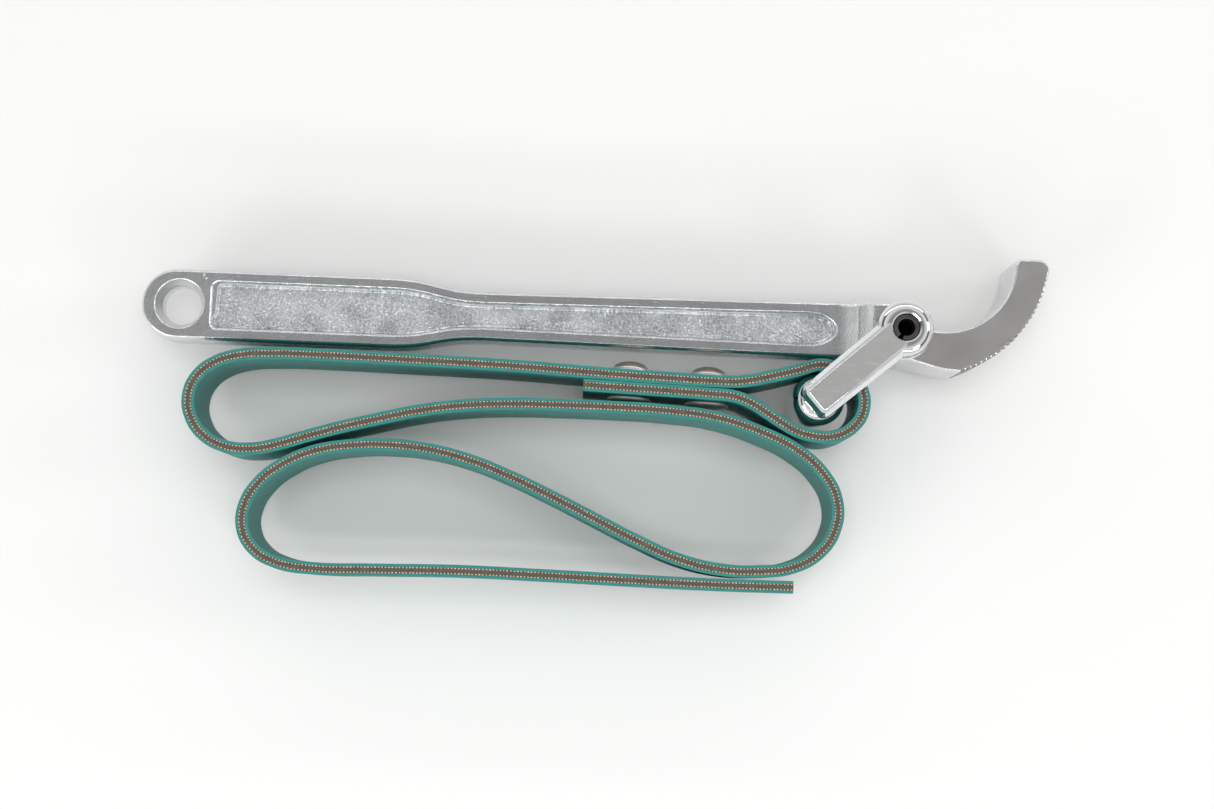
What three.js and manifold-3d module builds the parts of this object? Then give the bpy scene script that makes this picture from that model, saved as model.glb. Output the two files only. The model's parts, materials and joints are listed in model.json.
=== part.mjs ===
// Strap wrench: a forged, chrome-plated handle with a toothed jaw, a shackle that
// swings on a slotted spring pin, and a flat laminated belt that is looped round the
// shackle's crossbar and riveted back onto itself.
// Millimetres, +Z up. The tool lies on its side: handle along X, jaw towards +X,
// every hinge axis along Z. Origin: middle of the bounding box's lowest face.
import * as THREE from "three";
import { mergeVertices } from "three/addons/utils/BufferGeometryUtils.js";
import Module from "manifold-3d";

const wasm = await Module();
wasm.setup();

// ---------------------------------------------------------------- driving dimensions
// Everything below is laid out from the pivot: x = y = 0 on its axis, z = 0 on the
// middle plane that the handle, the shackle and the belt share.

const clearance = 0.3; // left between pieces that touch on the real tool
const runningClearance = 0.15; // radial, round the pivot pin and the rivets
const through = 5; // how far a cutter runs past the material it cuts
const roundSegments = 48;

// handle
const overallLength = 279.4; // eleven inches, hanging end to jaw
const gripWidth = 22.4;
const gripLength = 65; // centre of the hanging end to the start of the taper
const taperLength = 30;
const shankWidth = 15.6; // at the end of the taper
const shankWidthAtHead = 18.4;
const handleThickness = 14;
const flangeEdge = { inset: 1.1, height: 1.8 }; // rounding of the forging's edges
const flangeWidth = 3.3;
const recessDepth = 2.6;
const recessDraft = 1.25; // how far the recess wall leans in
const recessCorner = 3;
const recessFromHole = 9.5; // hanging hole's centre to the recess
const recessFromPivot = 19.1;
const hangingHole = { diameter: 12, rimDiameter: 15.6, rimDepth: 4.5, fromEnd: 12.1 };
const headRunIn = { from: 18.6, to: 10 }; // where the forging swells up to the head
const headClearance = 0.5; // head to each shackle arm
const headEdge = 0.8;

// jaw
const jawStep = 1; // how far the jaw's sides stand in from the head's
const jawOuter = { x: 5.6, y: 25.6, radius: 39.6 };
const jawInner = { x: 12.5, y: 22.2, radius: 22 };
const jawTipHeight = 23.6;
const jawTipChamfer = 1.8;
const heelAngle = -72.2; // degrees, about the outer arc's centre
const lastToothAngle = -12;
const toothPitch = 2.1;
const toothDepth = 0.9;

// pivot pin
const pinDiameter = 8;
const pinBore = 5.2;
const pinSlot = 1.8;
const pinSlotAngle = -110;
const pinRecess = 0.5; // below each hub face
const pinEdge = 0.4;

// shackle
const armThickness = 6;
const armLength = 33.4; // pivot to crossbar
const armWidthAtHub = 12.7;
const armWidthAtEnd = 12;
const armOverhang = 4.4; // past the crossbar's centre
const armCorner = 3;
const armChamfer = { inset: 2.5, height: 2.8 };
const hubDiameter = 17;
const hubEdge = 1.2;
const crossbarDiameter = 16;

// belt
const beltWidth = 25;
const coreThickness = 1.9;
const faceThickness = 0.95;
const bondGap = 0.05; // the bonded layers are kept this far apart as solids
const beltSideClearance = 1; // belt edge to shackle arm
const beltHandleGap = 0.8; // belt on the crossbar to the handle's underside
const beltTurnPerStep = 6; // degrees of bend in one flat facet of the belt

// riveted lap
const lap = { x: -70.6, y: -19.6, angle: -1.75 }; // middle of the joint between strands
const rivetSpacing = 24.3;
const rivetToCutEnd = 14.4;
const rivetShank = 5;
const rivetHole = 5.3;
const domeHead = { diameter: 11, height: 2.4 };
const flatHead = { diameter: 13.4, height: 1.2 };
const washer = { diameter: 13.6, thickness: 0.8 };

// ---------------------------------------------------------------- sizes that follow
const radians = THREE.MathUtils.degToRad;
const beltThickness = coreThickness + 2 * faceThickness;
const windowHeight = beltWidth + 2 * beltSideClearance;
const shackleHeight = windowHeight + 2 * armThickness;
const headThickness = windowHeight - 2 * headClearance;
const jawThickness = headThickness - 2 * jawStep;
const pivotHole = pinDiameter + 2 * runningClearance;
const jawTipDrop = jawOuter.y - (jawTipHeight - jawTipChamfer);
const jawReach = jawOuter.x + Math.sqrt(jawOuter.radius ** 2 - jawTipDrop ** 2);
const hangingEndX = jawReach - overallLength + gripWidth / 2;
const hangingHoleX = jawReach - overallLength + hangingHole.fromEnd;
const gripEndX = hangingEndX + gripLength;
const taperEndX = gripEndX + taperLength;
const beltOnBar = crossbarDiameter / 2 + clearance + beltThickness / 2;
// The shackle rests where the belt round its crossbar just clears the handle.
const barDrop = shankWidthAtHead / 2 + beltHandleGap + beltThickness / 2 + beltOnBar;
const restAngle = Math.PI + Math.asin(barDrop / armLength);
const barX = armLength * Math.cos(restAngle);
const barY = armLength * Math.sin(restAngle);

// ---------------------------------------------------------------- solids and booleans
function solid(geometry) {
  const bare = geometry.index ? geometry.toNonIndexed() : geometry.clone();
  bare.deleteAttribute("normal");
  bare.deleteAttribute("uv");
  const merged = mergeVertices(bare, 1e-4);
  return new wasm.Manifold(
    new wasm.Mesh({
      numProp: 3,
      vertProperties: new Float32Array(merged.attributes.position.array),
      triVerts: new Uint32Array(merged.index.array),
    }),
  );
}

function geometryOf(manifold) {
  const mesh = manifold.getMesh();
  const geometry = new THREE.BufferGeometry();
  geometry.setAttribute("position", new THREE.BufferAttribute(mesh.vertProperties, 3));
  geometry.setIndex(new THREE.BufferAttribute(mesh.triVerts, 1));
  const faceted = geometry.toNonIndexed();
  faceted.computeVertexNormals();
  return faceted;
}

// A closed outline through the points, without the ones that repeat their neighbour.
function outline(points) {
  const apart = 0.02;
  const kept = points.filter((point, index) =>
    point.distanceTo(points.at(index - 1)) > apart);
  return new THREE.Shape(kept);
}

// A plate of the given outline, centred on z = 0. An edge rounds both faces inwards.
function plate(shape, thickness, edge = null, segments = 3, curveSegments = 16) {
  const height = edge ? edge.height : 0;
  const geometry = new THREE.ExtrudeGeometry(shape, {
    depth: thickness - 2 * height,
    curveSegments,
    bevelEnabled: Boolean(edge),
    bevelThickness: height,
    bevelSize: edge ? edge.inset : 0,
    bevelOffset: edge ? -edge.inset : 0,
    bevelSegments: segments,
  });
  return geometry.translate(0, 0, -thickness / 2 + height);
}

function disc(radius, height, topRadius = radius) {
  const geometry = new THREE.CylinderGeometry(topRadius, radius, height, roundSegments);
  return geometry.rotateX(Math.PI / 2);
}

function circle(radius) {
  return new THREE.Shape().absarc(0, 0, radius, 0, 2 * Math.PI, false);
}

// ---------------------------------------------------------------- handle and jaw
// Half the shank's width at a place between the end of the taper and the pivot.
function shankHalfWidth(x) {
  const share = THREE.MathUtils.clamp((x - taperEndX) / -taperEndX, 0, 1);
  return THREE.MathUtils.lerp(shankWidth, shankWidthAtHead, share) / 2;
}

// Draws one long side of the handle, from the head to the grip, set in by `inset`.
function drawSide(shape, side, inset, fromX, toX) {
  const grip = side * (gripWidth / 2 - inset);
  const shank = side * (shankHalfWidth(taperEndX) - inset);
  const middle = (gripEndX + taperEndX) / 2;
  shape.lineTo(fromX, side * (shankHalfWidth(fromX) - inset));
  shape.lineTo(taperEndX, shank);
  shape.bezierCurveTo(middle, shank, middle, grip, gripEndX, grip);
  shape.lineTo(toX, grip);
}

function handleOutline() {
  const upper = new THREE.Shape();
  upper.moveTo(0, 0);
  drawSide(upper, 1, 0, 0, hangingEndX);
  upper.absarc(hangingEndX, 0, gripWidth / 2, Math.PI / 2, 1.5 * Math.PI, false);
  const lower = new THREE.Shape();
  lower.moveTo(0, 0);
  drawSide(lower, -1, 0, 0, hangingEndX);
  const points = upper.getPoints(16);
  points.push(...lower.getPoints(16).reverse());
  return outline(points);
}

function recessOutline() {
  const endRadius = shankHalfWidth(-recessFromPivot) - flangeWidth;
  const endX = -recessFromPivot - endRadius;
  const startX = hangingHoleX + recessFromHole;
  const upper = new THREE.Shape();
  upper.moveTo(endX, endRadius);
  drawSide(upper, 1, flangeWidth, endX - endRadius, startX + recessCorner);
  const half = gripWidth / 2 - flangeWidth;
  upper.absarc(startX + recessCorner, half - recessCorner, recessCorner,
    Math.PI / 2, Math.PI, false);
  const lower = new THREE.Shape();
  lower.moveTo(endX, -endRadius);
  drawSide(lower, -1, flangeWidth, endX - endRadius, startX + recessCorner);
  lower.absarc(startX + recessCorner, recessCorner - half, recessCorner,
    -Math.PI / 2, -Math.PI, true);
  const round = new THREE.Path();
  round.absarc(endX, 0, endRadius, -Math.PI / 2, Math.PI / 2, false);
  const points = upper.getPoints(10);
  points.push(...lower.getPoints(10).reverse(), ...round.getPoints(10));
  return outline(points);
}

// Cuts the panel of one face: its wall leans in by recessDraft down to the floor.
function recessCutter(side) {
  const height = 2 * (recessDepth + through);
  const cutter = plate(recessOutline(), height,
    { inset: recessDraft, height: recessDepth }, 2);
  return solid(cutter.translate(0, 0, side * (handleThickness / 2 - recessDepth + height / 2)));
}

function hangingHoleCutters() {
  const { diameter, rimDiameter, rimDepth } = hangingHole;
  const face = handleThickness / 2;
  const bore = solid(disc(diameter / 2, handleThickness + 2 * through));
  const slope = (rimDiameter - diameter) / 2 / rimDepth;
  const rim = (side) => {
    const height = rimDepth + through;
    const wide = diameter / 2 + slope * height;
    const cone = side > 0
      ? disc(diameter / 2, height, wide)
      : disc(wide, height, diameter / 2);
    return solid(cone.translate(0, 0, side * (face - rimDepth + height / 2)));
  };
  return bore.add(rim(1)).add(rim(-1)).translate([hangingHoleX, 0, 0]);
}

// The forging swells from the shank's thickness to the head's in a hollow curve.
function headRamp() {
  const low = handleThickness / 2 - flangeEdge.height;
  const high = headThickness / 2;
  const { from, to } = headRunIn;
  const side = new THREE.Shape();
  side.moveTo(0, -high);
  side.lineTo(0, high);
  side.lineTo(-to, high);
  side.quadraticCurveTo(-THREE.MathUtils.lerp(to, from, 0.55), low, -from, low);
  side.lineTo(-from, -low);
  side.quadraticCurveTo(-THREE.MathUtils.lerp(to, from, 0.55), -low, -to, -high);
  const ramp = plate(side, shankWidthAtHead + 2 * through, null, 0, 8).rotateX(Math.PI / 2);
  const plan = new THREE.Shape([
    new THREE.Vector2(0, shankHalfWidth(0)),
    new THREE.Vector2(-from, shankHalfWidth(-from)),
    new THREE.Vector2(-from, -shankHalfWidth(-from)),
    new THREE.Vector2(0, -shankHalfWidth(0)),
  ]);
  return solid(plate(plan, headThickness + 1)).intersect(solid(ramp));
}

function onArc(arc, degrees, radius = arc.radius) {
  const angle = radians(degrees);
  return new THREE.Vector2(
    arc.x + radius * Math.cos(angle),
    arc.y + radius * Math.sin(angle),
  );
}

// The jaw curves forward from the head: smooth inside, toothed outside.
function jawOutline() {
  const heel = onArc(jawOuter, heelAngle);
  const underHead = new THREE.Vector2(-2, -shankWidthAtHead / 2 + 0.4);
  const belly = new THREE.CubicBezierCurve(
    underHead,
    new THREE.Vector2(5, -shankWidthAtHead / 2 + 0.4),
    new THREE.Vector2(9, heel.y),
    heel,
  );
  const points = [new THREE.Vector2(-2, 0), ...belly.getPoints(8)];
  const arcLength = radians(lastToothAngle - heelAngle) * jawOuter.radius;
  const teeth = Math.round(arcLength / toothPitch);
  const step = (lastToothAngle - heelAngle) / teeth;
  for (let tooth = 0; tooth < teeth; tooth += 1) {
    const crest = heelAngle + tooth * step;
    points.push(onArc(jawOuter, crest + step / 2, jawOuter.radius - toothDepth));
    points.push(onArc(jawOuter, crest + step));
  }
  points.push(new THREE.Vector2(jawReach, jawOuter.y - jawTipDrop));
  points.push(new THREE.Vector2(jawReach - 1.2 * jawTipChamfer, jawTipHeight));
  points.push(new THREE.Vector2(jawInner.x + jawInner.radius + 1, jawTipHeight));
  const innerArc = new THREE.Path();
  innerArc.absarc(jawInner.x, jawInner.y, jawInner.radius, 0, -1.76, true);
  points.push(...innerArc.getPoints(14));
  return outline(points);
}

function handleGeometry() {
  const bar = solid(plate(handleOutline(), handleThickness, flangeEdge));
  const hub = { inset: headEdge, height: headEdge };
  const boss = solid(plate(circle(shankWidthAtHead / 2), headThickness, hub, 1, roundSegments));
  const jaw = solid(plate(jawOutline(), jawThickness));
  const pivot = solid(disc(pivotHole / 2, headThickness + 2 * through));
  return geometryOf(
    bar
      .subtract(recessCutter(1))
      .subtract(recessCutter(-1))
      .subtract(hangingHoleCutters())
      .add(headRamp())
      .add(boss)
      .add(jaw)
      .subtract(pivot),
  );
}

// ---------------------------------------------------------------- pivot pin
// A rolled spring pin: a tube with one slot down its length, drawn on the +X side.
function pinGeometry() {
  const length = shackleHeight - 2 * pinRecess;
  const edge = { inset: pinEdge, height: pinEdge };
  const rod = solid(plate(circle(pinDiameter / 2), length, edge, 1, roundSegments));
  const bore = solid(disc(pinBore / 2, length + 2 * through));
  const slot = new THREE.BoxGeometry(pinDiameter, pinSlot, length + 2 * through);
  return geometryOf(rod.subtract(bore).subtract(solid(slot.translate(pinDiameter / 2, 0, 0))));
}

// ---------------------------------------------------------------- shackle
// Drawn with its arms along +X from the pivot; its group turns it to the rest angle.
function armOutline() {
  const end = armLength + armOverhang;
  const atHub = armWidthAtHub / 2;
  const atEnd = armWidthAtEnd / 2;
  const shape = new THREE.Shape();
  shape.moveTo(0, -atHub);
  shape.lineTo(end - armCorner, -atEnd);
  shape.absarc(end - armCorner, armCorner - atEnd, armCorner, -Math.PI / 2, 0, false);
  shape.absarc(end - armCorner, atEnd - armCorner, armCorner, 0, Math.PI / 2, false);
  shape.lineTo(0, atHub);
  return shape;
}

// One arm and its hub, standing on z = 0: the outer face is chamfered to a ridge.
function armSolid() {
  const doubled = 2 * armThickness;
  const arm = solid(plate(armOutline(), doubled, armChamfer, 1, 6));
  const edge = { inset: hubEdge, height: hubEdge };
  const hub = solid(plate(circle(hubDiameter / 2), doubled, edge, 2, roundSegments));
  const hole = solid(disc(pivotHole / 2, doubled + 2 * through));
  return arm.add(hub).subtract(hole).trimByPlane([0, 0, 1], 0);
}

function shackleGeometry() {
  const upper = armSolid().translate([0, 0, windowHeight / 2]);
  const lower = upper.mirror([0, 0, 1]);
  const bar = solid(disc(crossbarDiameter / 2, windowHeight)).translate([armLength, 0, 0]);
  return geometryOf(upper.add(lower).add(bar));
}

// ---------------------------------------------------------------- belt
// Directions along and across the riveted lap.
const lapAlong = new THREE.Vector2(Math.cos(radians(lap.angle)), Math.sin(radians(lap.angle)));
const lapAcross = new THREE.Vector2(-lapAlong.y, lapAlong.x);
const strandOffset = (beltThickness + clearance) / 2;
const cutEnd = -rivetSpacing / 2 - rivetToCutEnd;

function atLap(along, across) {
  return [
    lap.x + along * lapAlong.x + across * lapAcross.x,
    lap.y + along * lapAlong.y + across * lapAcross.y,
  ];
}

// A point round the crossbar: an angle, and the slack beyond a snug wrap.
function roundBar(degrees, slack) {
  const radius = beltOnBar + slack;
  return [barX + radius * Math.cos(radians(degrees)), barY + radius * Math.sin(radians(degrees))];
}

// The belt's middle line seen from above, from the riveted end to the free end.
function beltRoute() {
  return [
    // short strand, under the lap, down to the crossbar
    atLap(cutEnd, -strandOffset),
    atLap(-12, -strandOffset),
    atLap(0, -strandOffset),
    atLap(12, -strandOffset),
    atLap(20, -strandOffset),
    [-45.5, -24.4],
    [-41, -27],
    [-36.5, -29.8],
    [-31.5, -32.4],
    // round the crossbar, slack on the far side
    roundBar(-98, 1.4),
    roundBar(-68, 2.1),
    roundBar(-38, 3.2),
    roundBar(-10, 3.7),
    roundBar(18, 3),
    roundBar(48, 1.4),
    roundBar(75, 0.4),
    roundBar(94, 0.2),
    // back to the lap, over the short strand
    [-31, -13.4],
    [-36, -14.8],
    [-41, -16.1],
    [-45.5, -17.2],
    atLap(20, strandOffset),
    atLap(12, strandOffset),
    atLap(0, strandOffset),
    atLap(-14, strandOffset),
    atLap(-28, strandOffset + 0.1),
    // along the handle to its hanging end, and back underneath
    [-116, -15.9],
    [-136, -15.4],
    [-156, -15.1],
    [-176, -14.8],
    [-192, -14.9],
    [-202.5, -15.9],
    [-209.6, -18.4],
    [-214.6, -22.8],
    [-216.8, -28.8],
    [-215.6, -35.2],
    [-211.4, -40.6],
    [-204.6, -43.8],
    [-197, -44.2],
    [-190, -42.8],
    [-181, -39.9],
    [-171, -36.8],
    [-160.5, -34],
    [-147.5, -30.8],
    [-134, -28.6],
    [-118, -27.4],
    [-103, -27.2],
    [-88, -27.2],
    [-72, -27.6],
    [-56, -29.2],
    [-42, -33.2],
    // the large loop below the shackle
    [-30.9, -38.4],
    [-23.2, -45],
    [-18.9, -53],
    [-19.2, -61.6],
    [-24, -69.2],
    [-32, -73.8],
    [-42, -75.3],
    [-53.5, -75.2],
    [-66.3, -72.6],
    [-79.5, -67.3],
    [-92.5, -61.2],
    [-105.5, -55.1],
    [-118.4, -49.5],
    [-131, -45],
    [-144, -42.2],
    [-157, -41.4],
    [-168.5, -42.2],
    [-178.5, -44.4],
    [-187, -48.4],
    [-193.6, -53.8],
    [-197.8, -60.8],
    [-198.2, -68],
    [-194.6, -74.2],
    [-187.6, -78],
    [-176.5, -79.5],
    [-160, -79.3],
    [-133, -78.7],
    [-106, -79],
    [-79, -79.5],
    [-55, -79.8],
    [-31.4, -79.7],
  ].map(([x, y]) => new THREE.Vector3(x, y, 0));
}

// Points and headings along the route, close together only where it bends.
function beltStations() {
  const curve = new THREE.CatmullRomCurve3(beltRoute(), false, "centripetal");
  const fine = 2400;
  curve.arcLengthDivisions = fine;
  const stations = [];
  let kept = null;
  for (let step = 0; step <= fine; step += 1) {
    const share = step / fine;
    const heading = curve.getTangentAt(share);
    const turned = kept ? heading.angleTo(kept) : Infinity;
    if (turned < radians(beltTurnPerStep) && step < fine) continue;
    kept = heading;
    stations.push({ point: curve.getPointAt(share), heading });
  }
  return stations;
}

// One layer of the belt, between two offsets to the left of its middle line.
function layerOutline(stations, from, to) {
  const edge = (offset) => stations.map(({ point, heading }) =>
    new THREE.Vector2(point.x - offset * heading.y, point.y + offset * heading.x));
  return new THREE.Shape([...edge(from), ...edge(to).reverse()]);
}

function rivetHoles() {
  const reach = 2 * (beltThickness + clearance);
  const hole = solid(new THREE.CylinderGeometry(rivetHole / 2, rivetHole / 2, reach, 24));
  const turned = hole.rotate([0, 0, lap.angle]);
  const places = [-1, 1].map((end) => atLap((end * rivetSpacing) / 2, 0));
  return places.map(([x, y]) => turned.translate([x, y, 0])).reduce((a, b) => a.add(b));
}

function layerGeometry(stations, from, to) {
  const strip = solid(plate(layerOutline(stations, from, to), beltWidth));
  return geometryOf(strip.subtract(rivetHoles()));
}

// ---------------------------------------------------------------- rivets and washers
// Profiles are turned about Y, the rivet's axis. y = 0 is the middle of the lap.
const strandFace = strandOffset + beltThickness / 2; // outer face of each strand
const washerFrom = strandFace + clearance;
const headFrom = washerFrom + washer.thickness + clearance;

function rivetGeometry() {
  const flat = -(strandFace + clearance);
  const domeRadius = domeHead.diameter / 2;
  const profile = [
    [0, flat - flatHead.height],
    [flatHead.diameter / 2 - 0.4, flat - flatHead.height],
    [flatHead.diameter / 2, flat - flatHead.height + 0.4],
    [flatHead.diameter / 2, flat],
    [rivetShank / 2, flat],
    [rivetShank / 2, headFrom],
    [domeRadius, headFrom],
    [domeRadius, headFrom + 0.5],
  ];
  const steps = 6;
  for (let step = 1; step <= steps; step += 1) {
    const angle = (step / steps) * (Math.PI / 2);
    const height = headFrom + 0.5 + (domeHead.height - 0.5) * Math.sin(angle);
    profile.push([step < steps ? domeRadius * Math.cos(angle) : 0, height]);
  }
  const points = profile.map(([x, y]) => new THREE.Vector2(x, y));
  return new THREE.LatheGeometry(points, 28);
}

function washerGeometry() {
  const inner = rivetHole / 2;
  const outer = washer.diameter / 2;
  const top = washerFrom + washer.thickness;
  const profile = [
    [inner, washerFrom],
    [outer, washerFrom],
    [outer, top - 0.3],
    [outer - 0.3, top],
    [inner, top],
    [inner, washerFrom],
  ];
  return new THREE.LatheGeometry(profile.map(([x, y]) => new THREE.Vector2(x, y)), 28);
}

// ---------------------------------------------------------------- materials
const finish = (color, roughness, metalness) =>
  new THREE.MeshStandardMaterial({ color, roughness, metalness });
const chrome = finish(0xd5d8da, 0.12, 1);
const polishedChrome = finish(0xc9cdd0, 0.06, 1);
const oxidisedSteel = finish(0x2a2724, 0.45, 0.9);
const tealRubber = finish(0x3c968c, 0.6, 0);
const tensionCore = finish(0x5f574b, 0.75, 0);
const zincSteel = finish(0xb9b7b0, 0.25, 1);

// ---------------------------------------------------------------- assembly
function piece(name, geometry, material) {
  const mesh = new THREE.Mesh(geometry, material);
  mesh.name = name;
  return mesh;
}

const wrench = new THREE.Group();
wrench.add(piece("handle", handleGeometry(), chrome));

const pin = piece("pivot_pin", pinGeometry(), oxidisedSteel);
pin.rotation.z = radians(pinSlotAngle);
wrench.add(pin);

const shackle = new THREE.Group();
shackle.rotation.z = restAngle;
shackle.add(piece("shackle", shackleGeometry(), polishedChrome));
wrench.add(shackle);

const belt = new THREE.Group();
const stations = beltStations();
const core = coreThickness / 2;
const face = core + faceThickness;
belt.add(piece("belt_core", layerGeometry(stations, -core, core), tensionCore));
belt.add(piece("belt_face_inner", layerGeometry(stations, core + bondGap, face), tealRubber));
belt.add(piece("belt_face_outer", layerGeometry(stations, -face, -core - bondGap), tealRubber));
wrench.add(belt);

[-1, 1].forEach((end, index) => {
  const riveted = new THREE.Group();
  const [x, y] = atLap((end * rivetSpacing) / 2, 0);
  riveted.position.set(x, y, 0);
  riveted.rotation.z = radians(lap.angle);
  riveted.add(piece(`belt_rivet_${index + 1}`, rivetGeometry(), zincSteel));
  riveted.add(piece(`rivet_washer_${index + 1}`, washerGeometry(), zincSteel));
  wrench.add(riveted);
});

// The origin: the middle of the bounding box's lowest face.
const box = new THREE.Box3().setFromObject(wrench, true);
const middle = box.getCenter(new THREE.Vector3());
wrench.position.set(-middle.x, -middle.y, -box.min.z);

const part = new THREE.Group();
part.add(wrench);
export default part;
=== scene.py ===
import json
from math import cos, hypot, pi, radians, sin

import bpy
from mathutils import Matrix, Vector


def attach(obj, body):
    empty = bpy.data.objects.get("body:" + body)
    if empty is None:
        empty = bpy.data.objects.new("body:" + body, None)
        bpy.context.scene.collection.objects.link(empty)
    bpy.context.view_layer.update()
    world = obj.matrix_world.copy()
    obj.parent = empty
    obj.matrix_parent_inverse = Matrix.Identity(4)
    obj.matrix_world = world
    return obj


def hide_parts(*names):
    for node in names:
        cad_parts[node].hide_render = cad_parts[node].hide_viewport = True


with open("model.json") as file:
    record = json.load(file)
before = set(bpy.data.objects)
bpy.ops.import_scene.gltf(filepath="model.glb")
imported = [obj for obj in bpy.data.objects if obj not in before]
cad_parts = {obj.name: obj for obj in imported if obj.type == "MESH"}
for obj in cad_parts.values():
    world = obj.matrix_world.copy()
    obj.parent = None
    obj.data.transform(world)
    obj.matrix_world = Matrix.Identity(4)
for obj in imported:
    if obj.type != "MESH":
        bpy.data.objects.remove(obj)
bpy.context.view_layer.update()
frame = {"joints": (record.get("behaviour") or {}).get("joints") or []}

# ---------------------------------------------------------------- handle with its jaw
# One steel forging, chrome plated: an I-section shank with a pebbled panel sunk into
# each side, a funnel-mouthed hanging hole, a neck that swells to the bored head, and a
# curved jaw whose sides are left satin and whose outer edge is toothed.

# Pieces are modelled in millimetres about the hinge axis and brought to it when finished.
MILLIMETRE = 0.001
hinges = {joint["name"]: Vector(joint["pos_m"]) for joint in frame["joints"]}
pivot = hinges["shackle_swing"]
ROUND_END = 0.5523  # pull of a handle that draws a quarter circle, as a share of its radius
STRAIGHT = (0.0, 0.0)


def add(primitive, name, **settings):
    """Adds a primitive with nothing else selected."""
    bpy.ops.object.select_all(action="DESELECT")
    primitive(**settings)
    piece = bpy.context.object
    piece.name = name
    piece.data.name = name
    return piece


def take(piece):
    """Makes a piece the only one selected."""
    bpy.ops.object.select_all(action="DESELECT")
    piece.select_set(True)
    bpy.context.view_layer.objects.active = piece


def edit(piece, kind="FACE"):
    """Opens a piece in edit mode with nothing selected."""
    take(piece)
    bpy.ops.object.mode_set(mode="EDIT")
    bpy.ops.mesh.select_mode(type=kind)
    bpy.ops.mesh.select_all(action="DESELECT")


def pick(piece, test, kind="FACE"):
    """Selects the faces or edges that pass a test, by their middle and normal or their ends."""
    edit(piece, kind)
    bpy.ops.object.mode_set(mode="OBJECT")
    mesh = piece.data
    if kind == "FACE":
        for face in mesh.polygons:
            face.select = test(face.center, face.normal)
    else:
        for edge in mesh.edges:
            edge.select = test(*(mesh.vertices[v].co for v in edge.vertices))
    bpy.ops.object.mode_set(mode="EDIT")


def done():
    bpy.ops.object.mode_set(mode="OBJECT")


def use(piece, kind, **settings):
    """Adds a modifier and applies it."""
    modifier = piece.modifiers.new(kind.lower(), kind)
    for name, value in settings.items():
        setattr(modifier, name, value)
    take(piece)
    bpy.ops.object.modifier_apply(modifier=modifier.name)


def cut(piece, cutter):
    use(piece, "BOOLEAN", operation="DIFFERENCE", solver="EXACT", object=cutter)
    bpy.data.objects.remove(cutter)


def weld(piece, other):
    use(piece, "BOOLEAN", operation="UNION", solver="EXACT", object=other)
    bpy.data.objects.remove(other)


def draw_face(name, knots, height, smoothness):
    """A flat face inside a closed Bezier outline. A knot is a place and its two pulls."""
    outline = add(bpy.ops.curve.primitive_bezier_circle_add, name)
    outline.data.dimensions = "2D"
    outline.data.fill_mode = "NONE"
    outline.data.resolution_u = smoothness
    points = outline.data.splines[0].bezier_points
    points.add(len(knots) - len(points))
    for point, (place, before, after) in zip(points, knots):
        x, y = place
        point.handle_left_type = "FREE" if any(before) else "VECTOR"
        point.handle_right_type = "FREE" if any(after) else "VECTOR"
        point.co = (x, y, 0)
        point.handle_left = (x + before[0], y + before[1], 0)
        point.handle_right = (x + after[0], y + after[1], 0)
    take(outline)
    bpy.ops.object.convert(target="MESH")
    face = bpy.context.object
    edit(face, "VERT")
    bpy.ops.mesh.select_all(action="SELECT")
    bpy.ops.mesh.remove_doubles(threshold=0.01)
    bpy.ops.transform.translate(value=(0, 0, height))
    bpy.ops.mesh.edge_face_add()
    done()
    if face.data.polygons[0].normal.z < 0:
        edit(face)
        bpy.ops.mesh.select_all(action="SELECT")
        bpy.ops.mesh.flip_normals()
        done()
    return face


def build_up(face, profile, downwards=False):
    """Raises a flat face into a solid, inset by inset. The profile is (inset, height) pairs."""
    edit(face)
    bpy.ops.mesh.select_all(action="SELECT")
    if downwards:
        bpy.ops.mesh.flip_normals()
    inset, height = profile[0]
    toward = -1 if downwards else 1
    for next_inset, next_height in profile[1:]:
        rise = abs(next_height - height)
        if next_inset - inset < 1e-6:
            bpy.ops.mesh.extrude_region_move(
                TRANSFORM_OT_translate={"value": (0, 0, toward * rise)})
        else:
            bpy.ops.mesh.inset(
                thickness=next_inset - inset, depth=rise, use_even_offset=True)
        inset, height = next_inset, next_height
    # The open rim that the first face left behind is closed.
    bpy.ops.mesh.select_all(action="DESELECT")
    bpy.ops.mesh.select_mode(type="EDGE")
    bpy.ops.mesh.select_non_manifold()
    bpy.ops.mesh.edge_face_add()
    bpy.ops.mesh.select_all(action="SELECT")
    bpy.ops.mesh.normals_make_consistent(inside=False)
    done()
    return face


def turn(name, rings, centre=(0, 0), around=96):
    """A round solid about an upright axis, drawn ring by ring: (radius, height) pairs."""
    x, y = centre
    radius, height = rings[0]
    piece = add(bpy.ops.mesh.primitive_circle_add, name, vertices=around, radius=radius,
                fill_type="NGON", location=(x, y, height))
    bpy.ops.object.transform_apply(location=True, rotation=True, scale=True)
    edit(piece)
    bpy.ops.mesh.select_all(action="SELECT")
    for next_radius, next_height in rings[1:]:
        bpy.ops.mesh.extrude_region_move(
            TRANSFORM_OT_translate={"value": (0, 0, next_height - height)})
        share = next_radius / radius
        bpy.ops.transform.resize(value=(share, share, 1), center_override=(x, y, 0))
        radius, height = next_radius, next_height
    bpy.ops.mesh.select_all(action="SELECT")
    bpy.ops.mesh.normals_make_consistent(inside=False)
    done()
    return piece


def rounding(inset, height, wide, tall, steps):
    """Profile points of a quarter-round edge that turns in by `wide` as it rises by `tall`."""
    angles = [pi / 2 * step / steps for step in range(1, steps + 1)]
    return [(inset + wide * (1 - cos(a)), height + tall * sin(a)) for a in angles]


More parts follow.
